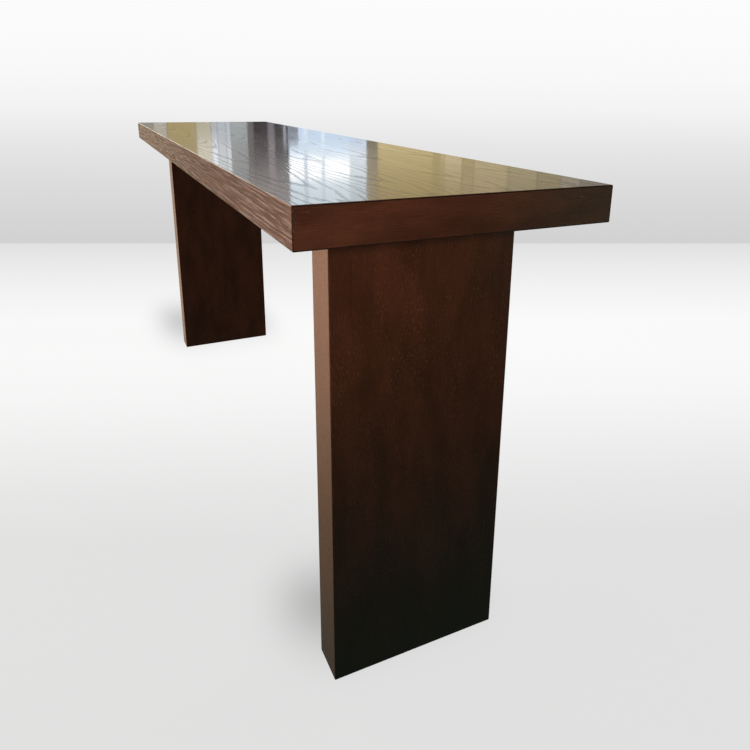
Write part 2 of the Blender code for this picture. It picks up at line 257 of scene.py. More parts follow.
@dataclass(frozen=True)
class VeneerFinish:
    """Stained veneer under a clear lacquer, cut from one log in slip-matched leaves."""

    name: str
    log: Log
    stain: Stain = field(default_factory=Stain)
    coat_roughness: float = 0.10
    relief: float = 0.00010  # from the bottom of a pore to the top of the lacquer
    film: float = 0.10  # slow waves in the lacquer, as a share of the relief
    banding: float = 0.6  # how much darker the porous wood takes the stain
    open_grain: float = 0.5  # how much gloss the lacquer loses where it sinks into the pores
    streaks: float = 0.0  # how much gloss is lost along the duller fibres
    mottle: float = 0.22  # how far the stain goes lighter and darker in clouds
    flecks: float = 0.0
    # Colour laid along the arris round: by default stain rubbed thin; set lighter it paints a highlight line, set
    # near black it paints a shade line.
    arris_wear_and_light_tone: Colour = (0.240, 0.140, 0.090)
    arris_wear_and_light_cover: tuple[float, float] = (0.0, 0.26)  # least and most of that tone along an arris

    def rings(self, sketch: Sketch, along: Any, across: Any, seed: Any) -> tuple[Any, ...]:
        """The growth rings where the knife cut them.

        Args:
            sketch: The graph.
            along: Place along the grain.
            across: Place across the grain.
            seed: A number of the board's own.

        Returns:
            The place along the slipped leaf, the place across it, the leaf's number, and the
            porous share of the wood from 0 to 1.
        """
        log_ = self.log
        leaf = sketch.math("FLOOR", sketch.add(sketch.times(across, 1 / log_.leaf_width), log_.leaf_shift))
        middle = sketch.times(sketch.add(leaf, 0.5 - log_.leaf_shift), log_.leaf_width)
        side = sketch.math("SUBTRACT", across, middle)
        run = sketch.add(along, sketch.times(leaf, log_.slip), sketch.times(seed, 3.7))
        slow = sketch.vector(sketch.times(run, 1.6), sketch.times(seed, 11.0), 0.3)
        slower = sketch.vector(sketch.times(run, 1.1), sketch.times(seed, 11.0), 7.3)
        heart = sketch.add(side, log_.heart_offset, sketch.swing(slow, log_.wander))
        depth = sketch.add(
            log_.heart_depth,
            sketch.times(run, log_.taper),
            sketch.swing(slower, log_.sway),
        )
        radius = sketch.math("SQRT", sketch.add(sketch.times(heart, heart), sketch.times(depth, depth)))
        ripple = sketch.vector(sketch.times(run, 9.0), sketch.times(side, 45.0), seed)
        uneven = sketch.vector(sketch.times(radius, 70.0), seed, 2.0)
        count = sketch.add(
            sketch.times(radius, 1 / log_.ring_width),
            sketch.swing(ripple, log_.ripple, 2.0),
            sketch.swing(uneven, log_.uneven, 1.0),
        )
        phase = sketch.math("FRACT", count)
        fades = sketch.ease(phase, 0.0, log_.porous_share, 1.0, 0.0)
        starts = sketch.ease(phase, 0.90, 1.0)
        return run, side, leaf, sketch.math("MAXIMUM", fades, starts)

    def make(self) -> bpy.types.Material:
        """Builds the material."""
        material, sketch = new_material(self.name)
        along, across, seed = sketch.parts(sketch.attribute(GRAIN, "Vector"))
        run, side, leaf, porous = self.rings(sketch, along, across, seed)
        fibre_place = sketch.vector(sketch.times(run, 26.0), sketch.times(side, 900.0), seed)
        fibre = sketch.noise(fibre_place, 3.0, 0.6)
        pore_place = sketch.vector(sketch.times(run, 95.0), sketch.times(side, 1900.0), seed)
        pore_seen = sketch.ease(sketch.noise(pore_place, 1.0), 0.54, 0.66)
        pore = sketch.times(pore_seen, sketch.ease(porous, 0.1, 0.9, 0.22, 1.0))
        patch_place = sketch.vector(sketch.times(run, 5.0), sketch.times(across, 14.0), seed)
        patch = sketch.noise(patch_place, 3.0, 0.55)

        banded = sketch.mix(sketch.times(porous, self.banding), self.stain.dense, self.stain.porous)
        toned = sketch.mix(sketch.ease(fibre, 0.3, 0.75, 0.0, 0.45), banded, self.stain.porous)
        pored = sketch.mix(sketch.times(pore, 0.75), toned, self.stain.pore)
        leaf_tone = sketch.noise(sketch.vector(sketch.times(leaf, 5.3), seed, 0.5), 0.0)
        level = sketch.times(
            sketch.ease(patch, 0.25, 0.75, 1.0 - self.mottle, 1.0 + self.mottle),
            sketch.ease(leaf_tone, 0.2, 0.8, 0.90, 1.10),
        )
        shaded = self.scaled(sketch, pored, level)
        colour = self.tone_arris_wear_and_light(sketch, shaded, run, side)
        if self.flecks:
            fleck_place = sketch.vector(sketch.times(run, 110.0), sketch.times(side, 480.0), 4.0)
            cloud_place = sketch.vector(sketch.times(run, 6.0), sketch.times(side, 18.0), 9.0)
            cloud = sketch.ease(sketch.noise(cloud_place, 1.0), 0.40, 0.62, 0.1, self.flecks)
            fleck = sketch.times(sketch.ease(sketch.noise(fleck_place, 2.0), 0.56, 0.70), cloud)
            colour = sketch.mix(fleck, colour, self.stain.rubbed)

        film_place = sketch.vector(sketch.times(run, 22.0), sketch.times(across, 55.0), seed)
        film = sketch.noise(film_place, 2.0, 0.5)
        height = sketch.add(
            sketch.times(porous, -0.45),
            sketch.times(pore, porous, -0.55),
            sketch.times(fibre, 0.14),
            sketch.times(film, self.film),
        )
        normal = sketch.bump(height, self.relief)
        sunk = sketch.times(porous, sketch.ease(pore_seen, 0.0, 1.0, 0.55, 1.0))
        if self.streaks:
            streak_place = sketch.vector(sketch.times(run, 7.0), sketch.times(side, 290.0), seed)
            streak = sketch.ease(sketch.noise(streak_place, 4.0, 0.7), 0.44, 0.56, 0.0, self.streaks)
            sunk = sketch.math("MAXIMUM", sunk, streak)
        sketch.surface(
            Base_Color=colour,
            Roughness=sketch.ease(sketch.add(fibre, sketch.times(pore, 0.6)), 0.2, 1.3, 0.34, 0.60),
            Specular_IOR_Level=0.06,
            Coat_Weight=sketch.ease(sunk, 0.0, 1.0, 1.0, 1.0 - self.open_grain),
            Coat_Roughness=self.coat_roughness,
            Coat_IOR=1.5,
            Normal=normal,
            Coat_Normal=normal,
        )
        return material

    def scaled(self, sketch: Sketch, colour: Any, level: Any) -> bpy.types.NodeSocket:
        """A colour made lighter or darker by a factor."""
        grey = sketch.vector(level, level, level)
        sockets = {"Factor": 1.0, 6: colour, 7: grey}
        return sketch.node("Mix", sockets, data_type="RGBA", blend_type="MULTIPLY").outputs[2]

    def tone_arris_wear_and_light(self, sketch: Sketch, colour: Any, run: Any, side: Any) -> bpy.types.NodeSocket:
        """Tones an arris: lighter in patches where the stain is rubbed thin, and also a painted highlight line where
        the tone is light and a painted shade line where it is near black.
        """
        on_arris_round = sketch.attribute(ARRIS_WEAR_AND_LIGHT, "Fac")
        patchy = sketch.noise(sketch.vector(sketch.times(run, 16.0), sketch.times(side, 16.0), 1.0), 4.0, 0.7)
        amount = sketch.times(sketch.ease(on_arris_round, 0.1, 0.8), sketch.ease(patchy, 0.38, 0.72, *self.arris_wear_and_light_cover))
        return sketch.mix(amount, colour, self.arris_wear_and_light_tone)


class Cut(Enum):
    """The two ways in which this table's veneers were cut from the log."""

    CROWN = "crown"
    STRAIGHT = "straight"


@dataclass(frozen=True)
class BareWood:
    """Unfinished wood inside the table."""

    name: str
    light: Colour
    dark: Colour
    grain_axis: int
    ply_thickness: float = 0.0
    roughness: float = 0.72

    def make(self) -> bpy.types.Material:
        """Builds the material."""
        material, sketch = new_material(self.name)
        place = list(sketch.parts(sketch.position()))
        stretched = [sketch.times(part, 4.0 if i == self.grain_axis else 90.0) for i, part in enumerate(place)]
        bands = sketch.noise(sketch.vector(*stretched), 4.0, 0.6)
        fibres = sketch.noise(sketch.vector(*(sketch.times(part, 7.0) for part in stretched)), 2.0)
        amount = sketch.ease(sketch.add(bands, sketch.times(fibres, 0.35)), 0.45, 0.95)
        if self.ply_thickness:
            layer = sketch.math("FLOOR", sketch.times(place[2], 1 / self.ply_thickness))
            alternate = sketch.math("FLOORED_MODULO", layer, 2.0)
            amount = sketch.add(sketch.times(amount, 0.55), sketch.times(alternate, 0.40))
        colour = sketch.mix(amount, self.light, self.dark)
        normal = sketch.bump(sketch.add(bands, fibres), 0.00015)
        sketch.surface(Base_Color=colour, Roughness=self.roughness, Normal=normal)
        return material


@dataclass(frozen=True)
class SealedBoard:
    """Stained and sealed board with no show face, matt and slightly mottled."""

    name: str
    light: Colour = (0.050, 0.030, 0.021)
    dark: Colour = (0.026, 0.016, 0.011)

    def make(self) -> bpy.types.Material:
        """Builds the material."""
        material, sketch = new_material(self.name)
        x, y, z = sketch.parts(sketch.position())
        grain = sketch.noise(sketch.vector(sketch.times(x, 9.0), sketch.times(y, 260.0), z), 4.0, 0.6)
        blotch = sketch.noise(sketch.vector(sketch.times(x, 6.0), sketch.times(y, 8.0), z), 3.0)
        amount = sketch.ease(sketch.add(sketch.times(grain, 0.6), sketch.times(blotch, 0.4)), 0.3, 0.7)
        sketch.surface(
            Base_Color=sketch.mix(amount, self.light, self.dark),
            Roughness=sketch.ease(grain, 0.3, 0.7, 0.48, 0.66),
            Specular_IOR_Level=0.4,
            Normal=sketch.bump(grain, 0.0001),
        )
        return material


@dataclass(frozen=True)
class Metal:
    """Plated or turned metal with fine tool marks."""

    name: str
    colour: Colour
    dull: Colour
    roughness: float = 0.30
    thread_pitch: float = 0.0

    def make(self) -> bpy.types.Material:
        """Builds the material."""
        material, sketch = new_material(self.name)
        x, y, z = sketch.parts(sketch.position())
        bloom = sketch.noise(sketch.vector(*(sketch.times(part, 160.0) for part in (x, y, z))), 4.0, 0.6)
        marks = sketch.noise(sketch.vector(sketch.times(x, 300.0), sketch.times(y, 300.0), sketch.times(z, 4000.0)))
        height = sketch.times(marks, 0.05)
        if self.thread_pitch:
            turn = sketch.math("SINE", sketch.times(z, math.tau / self.thread_pitch))
            height = sketch.add(height, sketch.times(turn, 0.5))
        sketch.surface(
            Base_Color=sketch.mix(sketch.ease(bloom, 0.4, 0.7, 0.0, 0.8), self.colour, self.dull),
            Metallic=1.0,
            Roughness=sketch.ease(bloom, 0.3, 0.7, self.roughness, self.roughness + 0.2),
            Normal=sketch.bump(height, 0.0006 if self.thread_pitch else 0.0001),
        )
        return material


@dataclass(frozen=True)
class Nylon:
    """Dark moulded nylon, scuffed where it slides."""

    name: str
    colour: Colour = (0.022, 0.019, 0.017)
    scuffed: Colour = (0.085, 0.078, 0.070)

    def make(self) -> bpy.types.Material:
        """Builds the material."""
        material, sketch = new_material(self.name)
        x, y, z = sketch.parts(sketch.position())
        scratch = sketch.noise(sketch.vector(sketch.times(x, 120.0), sketch.times(y, 1400.0), z), 3.0, 0.6)
        grain = sketch.noise(sketch.vector(*(sketch.times(part, 1500.0) for part in (x, y, z))), 1.0)
        amount = sketch.ease(scratch, 0.55, 0.75, 0.0, 0.7)
        sketch.surface(
            Base_Color=sketch.mix(amount, self.colour, self.scuffed),
            Roughness=sketch.ease(scratch, 0.4, 0.7, 0.38, 0.62),
            Normal=sketch.bump(grain, 0.00005),
        )
        return material


# --- Mesh work --------------------------------------------------------------------------


def rounded_block(low: Vector, high: Vector, radius: float) -> bmesh.types.BMesh:
    """A block with every edge rounded.

    Args:
        low: Its lowest corner.
        high: Its highest corner.
        radius: Of the rounding.

    Returns:
        The block as a mesh to carve boards from.
    """
    bm = bmesh.new()
    bmesh.ops.create_cube(bm, size=1.0)
    middle, size = (low + high) / 2, high - low
    for vertex in bm.verts:
        vertex.co = middle + vertex.co * size
    bmesh.ops.bevel(
        bm, geom=bm.edges[:], offset=radius, segments=ARRIS_STEPS, profile=0.5, affect="EDGES"
    )
    return bm


def carve(block: bmesh.types.BMesh, planes: Iterable[Plane]) -> bmesh.types.BMesh:
    """A copy of a block, sawn by planes and closed again.

    Args:
        block: The block, which stays whole.
        planes: Each is a point and the normal of the side that goes.

    Returns:
        The board that is left.
    """
    board = block.copy()
    for point, normal in planes:
        geometry = board.verts[:] + board.edges[:] + board.faces[:]
        found = bmesh.ops.bisect_plane(
            board, geom=geometry, dist=1e-7, plane_co=point, plane_no=normal, clear_outer=True
        )
        rim = [item for item in found["geom_cut"] if isinstance(item, bmesh.types.BMEdge)]
        bmesh.ops.contextual_create(board, geom=rim)
    bmesh.ops.recalc_face_normals(board, faces=board.faces)
    return board


def mitre(face: Vector, side: Vector, low: Vector, high: Vector) -> Plane:
    """The plane of the mitre between a board and the one beside it.

    Args:
        face: The outward direction of the board's show face.
        side: The outward direction of its neighbour's show face.
        low: The whole block's lowest corner.
        high: Its highest corner.

    Returns:
        A point on the saw cut, and the normal of the side that goes.
    """
    corner = sum((d * max(d.dot(low), d.dot(high)) for d in (face, side)), Vector())
    normal = (side - face).normalized()
    return corner - normal * GLUE_LINE / 2, normal


def finish_mesh(name: str, bm: bmesh.types.BMesh) -> bpy.types.Object:
    """Makes an object of a mesh, shaded smooth with sharp edges and flat faces kept true."""
    mesh = bpy.data.meshes.new(name)
    bm.to_mesh(mesh)
    bm.free()
    mesh.shade_smooth()
    mesh.set_sharp_from_angle(angle=SHARP_ANGLE)
    obj = bpy.data.objects.new(name, mesh)
    bpy.context.scene.collection.objects.link(obj)
    weighted = obj.modifiers.new("flat_faces", "WEIGHTED_NORMAL")
    weighted.keep_sharp = True
    weighted.weight = 100
    return obj


@dataclass(frozen=True)
class Board:
    """One veneered board, carved from its block."""

    name: str
    node: str
    face: Vector
    sides: tuple[Vector, ...]  # neighbours that it is mitred to
    grain: Vector
    seed: float

    def make(self, block: bmesh.types.BMesh, low: Vector, high: Vector, material: bpy.types.Material) -> bpy.types.Object:
        """Carves, marks and dresses the board.

        Args:
            block: The rounded block that the boards make up.
            low: The block's lowest corner.
            high: Its highest corner.
            material: The veneer.

        Returns:
            The board, which stands for its node.
        """
        node_low, node_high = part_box(self.node)
        inner = node_low if max(self.face) > 0 else node_high
        planes = [(inner, -self.face)]
        planes += [mitre(self.face, side, low, high) for side in self.sides]
        obj = finish_mesh(self.name, carve(block, planes))
        self.mark(obj.data, low, high)
        obj.data.materials.append(material)
        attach(obj, "root")
        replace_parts(obj, self.node)
        return obj

    def mark(self, mesh: bpy.types.Mesh, low: Vector, high: Vector) -> None:
        """Writes the grain's own coordinates, and where the arrises are, into the mesh."""
        places = np.empty(len(mesh.vertices) * 3)
        mesh.vertices.foreach_get("co", places)
        places = places.reshape(-1, 3)
        across = self.face.cross(self.grain)
        middle = np.array((low + high) / 2)
        grain = np.stack(
            [
                (places - middle) @ np.array(self.grain),
                (places - middle) @ np.array(across),
                np.full(len(places), self.seed),
            ],
            axis=1,
        )
        layer = mesh.attributes.new(GRAIN, "FLOAT_VECTOR", "POINT")
        layer.data.foreach_set("vector", grain.astype(np.float32).ravel())
        from_edges = np.minimum(places - np.array(low), np.array(high) - places)
        near = np.sort(from_edges, axis=1)[:, :2] < ARRIS * 0.98
        on_arris_round = np.where(near.all(axis=1), 1.0, 0.0)
        arris_layer = mesh.attributes.new(ARRIS_WEAR_AND_LIGHT, "FLOAT", "POINT")
        arris_layer.data.foreach_set("value", on_arris_round.astype(np.float32))


# --- The table --------------------------------------------------------------------------


def default_logs() -> dict[str, VeneerFinish]:
    """The veneer of each part of the table."""
    crown = Log(0.0052, 0.066, 0.0, 0.021, 0.010, 0.008, 0.1525, leaf_shift=0.0, porous_share=0.38)
    apron = Log(0.0045, 0.030, 0.080, 0.016, 0.009, 0.006, 0.400, ripple=0.6, uneven=1.1, porous_share=0.95)
    straight = Log(0.0024, 0.020, 0.260, 0.004, 0.003, 0.003, 0.400, uneven=1.6)
    leg = Log(0.0024, 0.060, 0.310, 0.006, 0.008, 0.005, 0.500, uneven=2.2)
    return {
        "top": VeneerFinish(
            "crown_cut_top_veneer", crown, coat_roughness=0.025, relief=0.00008, open_grain=0.25, banding=0.5
        ),
        # The apron's higher arris cover paints a lighter highlight line along its arrises, on top of the rubbed
        # stain.
        "apron": VeneerFinish(
            "crown_cut_apron_veneer", apron, coat_roughness=0.13, relief=0.00016, open_grain=0.8, streaks=1.0,
            arris_wear_and_light_cover=(0.2, 0.6)
        ),
        # The end boards' near-black arris tone paints a dark shade line along their arrises.
        "end": VeneerFinish(
            "straight_end_veneer", straight, coat_roughness=0.18, banding=0.4, open_grain=0.5, mottle=0.34,
            arris_wear_and_light_tone=(0.008, 0.004, 0.003), arris_wear_and_light_cover=(0.85, 1.0)
        ),
        "leg": VeneerFinish(
            "straight_leg_veneer",
            leg,
            Stain(dense=(0.082, 0.026, 0.0110)),
            coat_roughness=0.22,
            banding=0.25,
            open_grain=0.3,
            mottle=0.32,
            flecks=0.3,
        ),
    }


@dataclass
class TableTop:
    """The thick top: a panel and four aprons, mitred together."""

    veneers: dict[str, bpy.types.Material]
    low: Vector = field(init=False)
    high: Vector = field(init=False)

    def __post_init__(self) -> None:
        """Reads the top's size from the frame."""
        corners = [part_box(node) for node in ("top_panel", "front_apron", "left_end_apron", "back_apron", "right_end_apron")]
        self.low = Vector(min(low[i] for low, _ in corners) for i in range(3))
        self.high = Vector(max(high[i] for _, high in corners) for i in range(3))

    def boards(self) -> list[tuple[Board, str]]:
        """The boards, each with the name of its veneer."""
        return [
            (Board("top_board", "top_panel", Z, (X, -X, Y, -Y), X, 1.0), "top"),
            (Board("front_apron_board", "front_apron", -Y, (Z, X, -X), X, 2.0), "apron"),
            (Board("back_apron_board", "back_apron", Y, (Z, X, -X), X, 3.0), "apron"),
            (Board("left_end_board", "left_end_apron", -X, (Z, Y, -Y), Y, 4.0), "end"),
            (Board("right_end_board", "right_end_apron", X, (Z, Y, -Y), Y, 5.0), "end"),
        ]

    def build(self) -> list[bpy.types.Object]:
        """Makes the boards of the top."""
        block = rounded_block(self.low, self.high, ARRIS)
        made = [board.make(block, self.low, self.high, self.veneers[veneer]) for board, veneer in self.boards()]
        block.free()
        return made


@dataclass
class SlabLeg:
    """One leg: a box of four boards mitred at the corners, on two glides."""

    side: str
    outward: Vector
    veneer: bpy.types.Material
    nylon: bpy.types.Material
    steel: bpy.types.Material

    def boards(self) -> list[Board]:
        """The four boards of the leg."""
        start = f"{self.side}_leg"
        seed = 6.0 if self.side == "left" else 11.0
        return [
            Board(f"{start}_outer_board", f"{start}_outer_panel", self.outward, (Y, -Y), Z, seed),
            Board(f"{start}_inner_board", f"{start}_inner_panel", -self.outward, (Y, -Y), Z, seed + 1),
            Board(f"{start}_front_board", f"{start}_front_edge", -Y, (X, -X), Z, seed + 2),
            Board(f"{start}_back_board", f"{start}_back_edge", Y, (X, -X), Z, seed + 3),
        ]

    def build(self) -> list[bpy.types.Object]:
        """Makes the leg's boards and its glides."""
        boards = self.boards()
        corners = [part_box(board.node) for board in boards]
        low = Vector(min(c[0][i] for c in corners) for i in range(3))
        high = Vector(max(c[1][i] for c in corners) for i in range(3))
        block = rounded_block(low, high, ARRIS)
        made = [board.make(block, low, high, self.veneer) for board in boards]
        block.free()
        made += [self.glide(row) for row in ("front", "back")]
        return made

    def glide(self, row: str) -> bpy.types.Object:
        """A moulded glide with a domed rim round its sunk nail."""
        node = f"{self.side}_leg_{row}_glide"
        low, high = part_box(node)
        middle = (low + high) / 2
        radius = (high.x - low.x) / 2
        nail, head, sink = 0.00125, 0.0045, 0.0008
        plate = 0.0027
        profile = [(0.0, sink), (head, sink), (head + 0.001, sink * 0.6), (head + 0.002, 0.0)]
        turn = [math.radians(90 * i / 6) for i in range(7)]
        rim = 0.0013
        profile += [(radius - rim + rim * math.sin(a), rim - rim * math.cos(a)) for a in turn]
        profile += [(radius - 0.0004, plate), (nail, plate), (nail, high.z - low.z - 0.003), (0.0, high.z - low.z)]
        bm = bmesh.new()
        points = [bm.verts.new((r, 0.0, z)) for r, z in profile]
        edges = [bm.edges.new(pair) for pair in zip(points, points[1:])]
        bmesh.ops.spin(
            bm, geom=points + edges, axis=Z, cent=(0, 0, 0), angle=math.tau, steps=CAP_SEGMENTS
        )
        bmesh.ops.remove_doubles(bm, verts=bm.verts, dist=1e-6)
        bmesh.ops.recalc_face_normals(bm, faces=bm.faces)
        bmesh.ops.translate(bm, verts=bm.verts, vec=(middle.x, middle.y, low.z))
        obj = finish_mesh(f"{self.side}_{row}_glide", bm)
        obj.data.materials.append(self.nylon)
        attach(obj, "root")
        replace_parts(obj, node)
        return obj


@dataclass
class InnerWork:
    """The pieces that stay as the frame has them, each dressed by what it is made of."""

    frame: dict[str, Any]
    replaced: set[str]

    def dress(self) -> int:
        """Gives every remaining node its finish, and returns how many there were."""
        finishes: dict[str, Callable[[], bpy.types.Material]] = {
            "stained_underside": SealedBoard("sealed_underside").make,
            "plywood": BareWood("birch_plywood", (0.60, 0.45, 0.28), (0.40, 0.26, 0.14), 0, 0.0014).make,
            "pine": BareWood("planed_pine", (0.66, 0.46, 0.25), (0.46, 0.26, 0.11), 1).make,
            "beech": BareWood("pressed_beech", (0.58, 0.36, 0.20), (0.42, 0.23, 0.12), 2).make,
            "zinc_steel": Metal("zinc_plate", (0.62, 0.64, 0.66), (0.42, 0.43, 0.44), 0.28, 0.0015).make,
            "brass": Metal("turned_brass", (0.72, 0.52, 0.24), (0.50, 0.34, 0.15), 0.30).make,
        }
        made: dict[str, bpy.types.Material] = {}
        count = 0
        for entry in self.frame["record"]["subparts"]:
            node, slot = entry["node"], entry["material_slot"]
            if node in self.replaced:
                continue
            if slot not in made:
                made[slot] = finishes[slot]()
            obj = self.frame["nodes"][node]
            for held in obj.material_slots:
                held.material = made[slot]
            if not obj.material_slots:
                obj.data.materials.append(made[slot])
            log.info("dressed %s in %s", node, made[slot].name)
            count += 1
        return count


# --- The studio -------------------------------------------------------------------------


@dataclass(frozen=True)
class Flat:
    """A tall flat standing far off round the studio, by direction from the table.

    Azimuth 0 is towards +Y and 90 towards -X, in degrees. Elevation is above the horizon.
    """

    name: str
    start: float
    end: float
    foot: Colour
    waist: Colour
    head: Colour
    heights: tuple[float, float, float] = (3.2, 5.5, 8.5)  # elevations of those three colours
    low: float = 0.0
    high: float = 18.0
    soft: float = 0.12
    soft_height: float = 1.0


@dataclass(frozen=True)
class SoftShade:
    """A soft shadow beside a leg, on the floor."""

    x: float  # of its middle
    half_width: float  # of its full depth, each side of the table's centre line
    reach_x: float
    reach_y: float
    depth: float

    def left(self, sketch: Sketch) -> bpy.types.NodeSocket:
        """The share of the floor's brightness that the shadow leaves."""
        x, y, _ = sketch.parts(sketch.position())
        along = sketch.times(sketch.add(x, -self.x), 1.0 / self.reach_x)
        beyond = sketch.math("MAXIMUM", sketch.add(sketch.math("ABSOLUTE", y), -self.half_width), 0.0)
        across = sketch.times(beyond, 1.0 / self.reach_y)
        apart = sketch.math("SQRT", sketch.add(sketch.times(along, along), sketch.times(across, across)))
        soft = sketch.ease(apart, 0.0, 1.0, 1.0, 0.0)
        return sketch.add(1.0, sketch.times(soft, soft, -self.depth))


@dataclass
class Studio:
    """The floor, the wall, the lights and the camera."""

    eye: Vector = field(default_factory=lambda: Vector((2.109, -0.570, 1.227)))
    azimuth: float = 63.93
    pitch: float = -16.28
    roll: float = 0.81
    lens: float = 30.95
    shift: tuple[float, float] = (-0.0287, -0.128)
    wall_distance: float = 5.255
    wall_azimuth: float = 67.49  # of the level direction square to the wall
    floor_glow: Colour = (0.042, 0.085, 0.068)
    room_glow: Colour = (0.026, 0.024, 0.022)
    ceiling_glow: Colour = (0.040, 0.039, 0.038)

    def flats(self) -> tuple[Flat, ...]:
        """What stands round the studio, and so what the lacquer mirrors."""
        sky = (3.8, 5.6, 9.6)
        front = (-37.0, -26.0, -14.0)
        side = (-46.0, -33.0, -17.0)
        return (
            Flat("end_curtain", 84.3, 92.0, (0.36, 0.34, 0.30), (0.38, 0.36, 0.32), (0.40, 0.38, 0.33)),
            Flat("cream_strip", 83.26, 84.3, (0.56, 0.53, 0.46), (0.58, 0.52, 0.43), (0.58, 0.52, 0.43)),
            Flat("ochre_wall", 81.0, 83.26, (0.47, 0.38, 0.18), (0.56, 0.45, 0.23), (0.58, 0.46, 0.24)),
            Flat("cream_case", 79.8, 81.0, (0.55, 0.51, 0.37), (1.02, 0.95, 0.79), (1.12, 1.04, 0.89)),
            Flat("case_edge", 79.3, 79.8, (0.50, 0.51, 0.52), (1.25, 1.33, 1.43), (1.46, 1.52, 1.58)),
            Flat("pale_door", 78.6, 79.3, (0.53, 0.58, 0.63), (0.88, 0.93, 0.98), (1.15, 1.18, 1.20)),
            Flat("door_edge", 78.2, 78.6, (0.60, 0.65, 0.69), (1.00, 1.04, 1.06), (1.22, 1.25, 1.25)),
            Flat("grey_door", 76.8, 78.2, (0.45, 0.48, 0.49), (0.44, 0.46, 0.46), (0.50, 0.51, 0.51)),
            Flat("jamb", 76.3, 76.8, (0.16, 0.15, 0.14), (0.20, 0.19, 0.19), (0.50, 0.48, 0.46)),
            Flat("doorway", 73.4, 76.3, (0.03, 0.025, 0.025), (0.14, 0.135, 0.135), (0.50, 0.47, 0.47)),
            Flat("lilac_strip", 74.6, 75.15, (0.20, 0.19, 0.22), (0.38, 0.34, 0.35), (0.50, 0.46, 0.45)),
            Flat("door_gap", 73.64, 73.84, *[(0.45, 0.47, 0.54)] * 3, high=5.0, soft_height=0.6),
            Flat("window", 66.7, 73.4, (0.72, 0.88, 1.12), (1.12, 1.32, 1.48), (1.24, 1.42, 1.52), sky),
            Flat("bright_sky", 66.7, 73.4, *[(2.05, 2.05, 2.05)] * 3, low=5.75, high=7.6, soft_height=0.4),
            Flat("left_mullion", 71.85, 72.15, *[(0.95, 1.08, 1.22)] * 3),
            Flat("right_mullion", 70.35, 70.6, *[(1.05, 1.20, 1.36)] * 3),
            Flat("side_light", 66.7, 68.2, (0.66, 0.79, 1.04), (1.20, 1.30, 1.38), (0.96, 1.10, 1.16), sky),
            Flat("sash", 72.6, 73.4, *[(0.24, 0.26, 0.31)] * 3, high=4.5, soft_height=0.4),
            Flat("post", 65.75, 66.7, (0.10, 0.09, 0.06), (0.42, 0.37, 0.27), (0.60, 0.50, 0.32)),
            Flat("olive_wall", 59.9, 65.75, (0.85, 0.70, 0.38), (0.78, 0.63, 0.33), (0.66, 0.52, 0.25)),
            Flat("wall_shadow", 60.2, 60.9, (0.66, 0.54, 0.28), (0.62, 0.50, 0.25), (0.61, 0.48, 0.23)),
            Flat("wall_bright", 58.3, 59.9, (0.90, 0.74, 0.47), (0.86, 0.70, 0.43), (0.68, 0.55, 0.29)),
            Flat("wall_joint", 57.3, 58.3, (0.60, 0.49, 0.27), (0.60, 0.49, 0.27), (0.65, 0.52, 0.29)),
            Flat("wall_end", 54.3, 57.3, (0.74, 0.62, 0.37), (0.72, 0.60, 0.36), (0.67, 0.55, 0.32)),
            Flat("brown_wall", 51.8, 54.3, (0.60, 0.52, 0.32), (0.60, 0.52, 0.33), (0.55, 0.46, 0.28)),
            Flat("brown_shade", 49.8, 51.8, (0.49, 0.42, 0.26), (0.49, 0.42, 0.26), (0.47, 0.40, 0.25)),
            Flat("brown_light", 48.2, 49.8, (0.52, 0.46, 0.35), (0.52, 0.46, 0.35), (0.50, 0.44, 0.34)),
            Flat("brown_end", 36.0, 48.2, (0.42, 0.39, 0.34), (0.44, 0.40, 0.34), (0.32, 0.28, 0.23)),
            Flat("front_far", 92.0, 98.0, (0.20, 0.19, 0.17), (0.53, 0.46, 0.345), (0.72, 0.60, 0.43), front, -60, 4, 1.5, 4),
            Flat("front_mid", 98.0, 102.5, (0.10, 0.09, 0.08), (0.19, 0.153, 0.125), (0.255, 0.195, 0.155), front, -60, 4, 1.8, 4),
            Flat("front_near", 102.5, 107.4, (0.12, 0.11, 0.10), (0.72, 0.56, 0.48), (1.12, 0.84, 0.70), front, -60, 4, 1.8, 4),
            Flat("front_side", 107.4, 150.0, (0.04, 0.09, 0.07), (0.54, 0.32, 0.18), (1.77, 0.91, 0.54), side, -60, 4, 0.6, 4),
            Flat("far_room", -52.0, -38.0, *[(0.26, 0.34, 0.24)] * 3, low=-18.0, high=0.0, soft=3.0, soft_height=4.0),
            Flat("front_lamp", 87.5, 106.0, (2.2, 1.95, 1.6), (2.2, 1.95, 1.6), (2.2, 1.95, 1.6), sky, 3.5, 30, 1.5, 1.5),
        )

